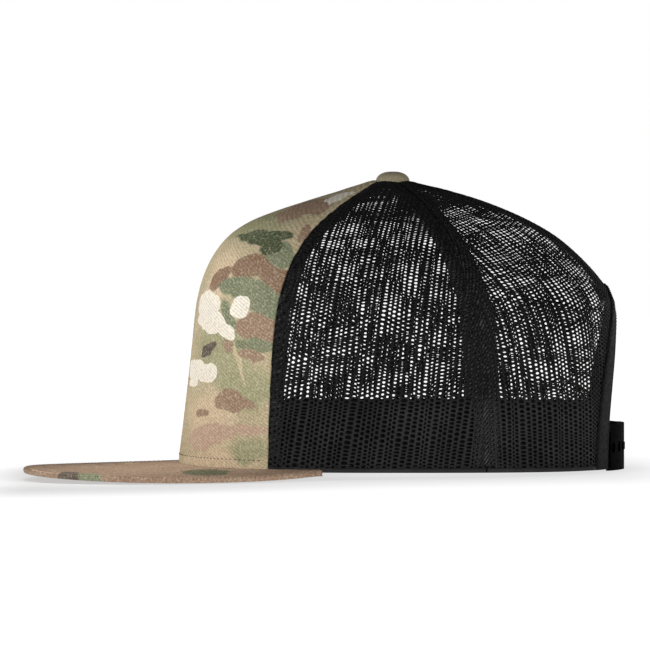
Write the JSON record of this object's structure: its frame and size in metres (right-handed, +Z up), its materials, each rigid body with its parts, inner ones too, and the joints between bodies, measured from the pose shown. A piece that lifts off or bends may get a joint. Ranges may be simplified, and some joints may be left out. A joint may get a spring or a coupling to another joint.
{
  "type": "trucker cap",
  "caption": "Structured trucker cap with a flat visor, a printed fabric front, open mesh sides and back, a top button and a snap strap across the back opening.",
  "frame": {"origin": "the centre of the head opening, in the plane of the crown's lower edge, right below the top button", "axes": "+Z up, -Y the way the visor points, +X the wearer's left"},
  "size_m": [0.1892, 0.2683, 0.1359],
  "materials": {
    "camo_twill": "matte cotton twill with a printed camouflage",
    "black_mesh": "matte knitted polyester mesh",
    "black_tape": "matte woven tape",
    "buckram": "stiff open-weave buckram",
    "black_sweatband": "matte cotton twill",
    "interlining": "thin felt",
    "label_satin": "woven satin",
    "visor_board": "moulded sheet",
    "black_plastic": "moulded, semi-gloss",
    "tan_fabric": "fine ribbed twill",
    "button_metal": "plain stamped steel"
  },
  "bodies": {
    "cap": {"front_panel": "camo_twill", "front_buckram": "buckram", "side_mesh_left": "black_mesh", "side_mesh_right": "black_mesh", "back_mesh_left": "black_mesh", "back_mesh_right": "black_mesh", "front_seam_tape_left": "black_tape", "front_seam_tape_right": "black_tape", "side_seam_tape_left": "black_tape", "side_seam_tape_right": "black_tape", "back_seam_tape": "black_tape", "arch_binding": "black_tape", "sweatband": "black_sweatband", "sweatband_interlining": "interlining", "care_label": "label_satin", "visor_top_cover": "camo_twill", "visor_board": "visor_board", "visor_under_cover": "camo_twill", "hole_strap_tab": "black_plastic", "peg_strap_tab": "black_plastic", "button_cover": "tan_fabric", "button_shell": "button_metal", "button_tack": "button_metal"},
    "hole_strap_end": {"hole_strap": "black_plastic"},
    "peg_strap_end": {"peg_strap": "black_plastic"}
  },
  "joints": [
    {"name": "hole_strap_swing", "type": "hinge", "parent": "cap", "child": "hole_strap_end", "pos_m": [0.0356, 0.0953, 0.00965], "axis": [0, 0, -1], "range_deg": [0, 60]},
    {"name": "peg_strap_swing", "type": "hinge", "parent": "cap", "child": "peg_strap_end", "pos_m": [-0.0355, 0.0912, 0.00965], "axis": [0, 0, -1], "range_deg": [0, 30]}
  ]
}
